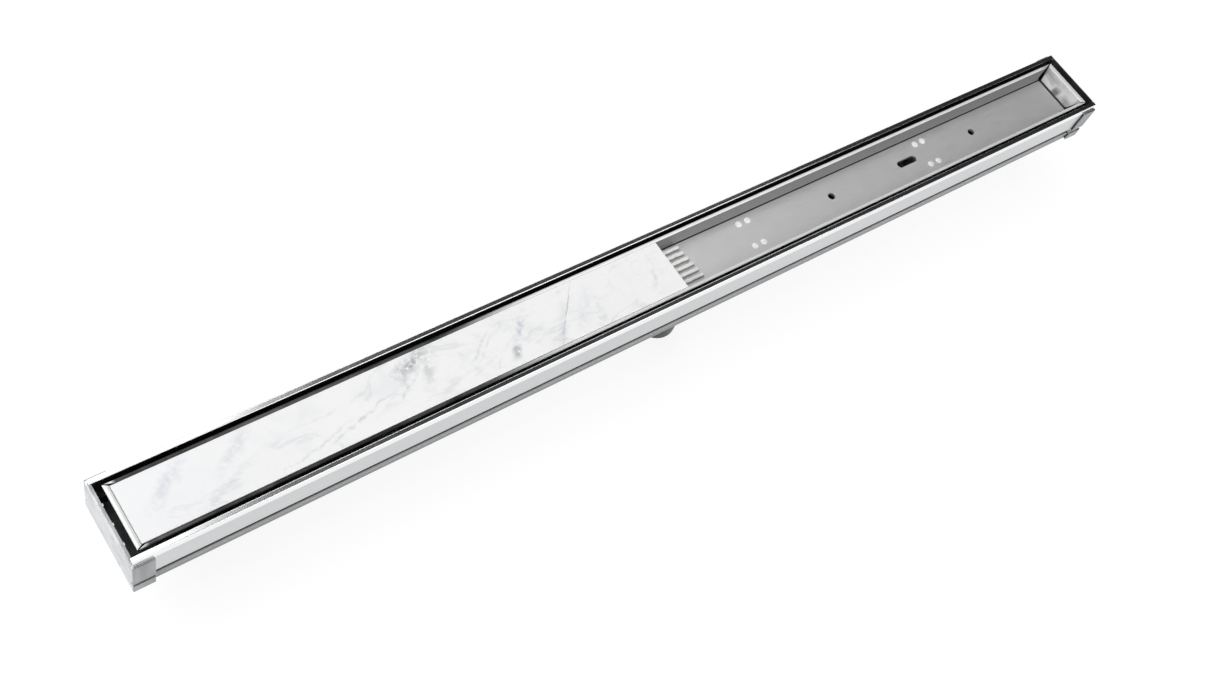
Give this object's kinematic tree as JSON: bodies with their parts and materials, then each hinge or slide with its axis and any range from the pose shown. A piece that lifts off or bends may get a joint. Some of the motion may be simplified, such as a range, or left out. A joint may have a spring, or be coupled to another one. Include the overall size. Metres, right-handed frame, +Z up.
{
  "type": "linear shower drain",
  "caption": "Long aluminium floor channel with a lift-out steel tray that carries a cut tile; water runs in round the tray's edge and leaves by a pipe below.",
  "frame": {"origin": "centre of the lower end of the outlet pipe, which is the middle of the drain's underside box", "axes": "+X along the channel towards the end where the tray is open, +Y across the channel, +Z up to the rim"},
  "size_m": [1.0024, 0.074, 0.1],
  "materials": {
    "channel": "extruded, satin",
    "cap": "satin",
    "seal": "matt black",
    "outlet": "dark grey moulding",
    "tray": "fine brushed along its length",
    "rivet": "bright",
    "tile": "polished white marble look with grey veins",
    "adhesive": "set cement, combed"
  },
  "bodies": {
    "root": {"channel_body": "channel", "end_cap_left": "cap", "end_cap_right": "cap", "end_seal_left": "seal", "end_seal_right": "seal", "outlet_spigot": "outlet", "outlet_gasket": "seal", "outlet_backnut": "outlet", "tile_tray": "tray", "tray_rivets": "rivet", "tile_insert": "tile", "adhesive_bed": "adhesive", "tray_leg_far_1": "tray", "tray_leg_far_2": "tray", "tray_leg_far_3": "tray", "tray_leg_far_4": "tray", "tray_leg_near_1": "tray", "tray_leg_near_2": "tray", "tray_leg_near_3": "tray", "tray_leg_near_4": "tray"}
  },
  "joints": []
}
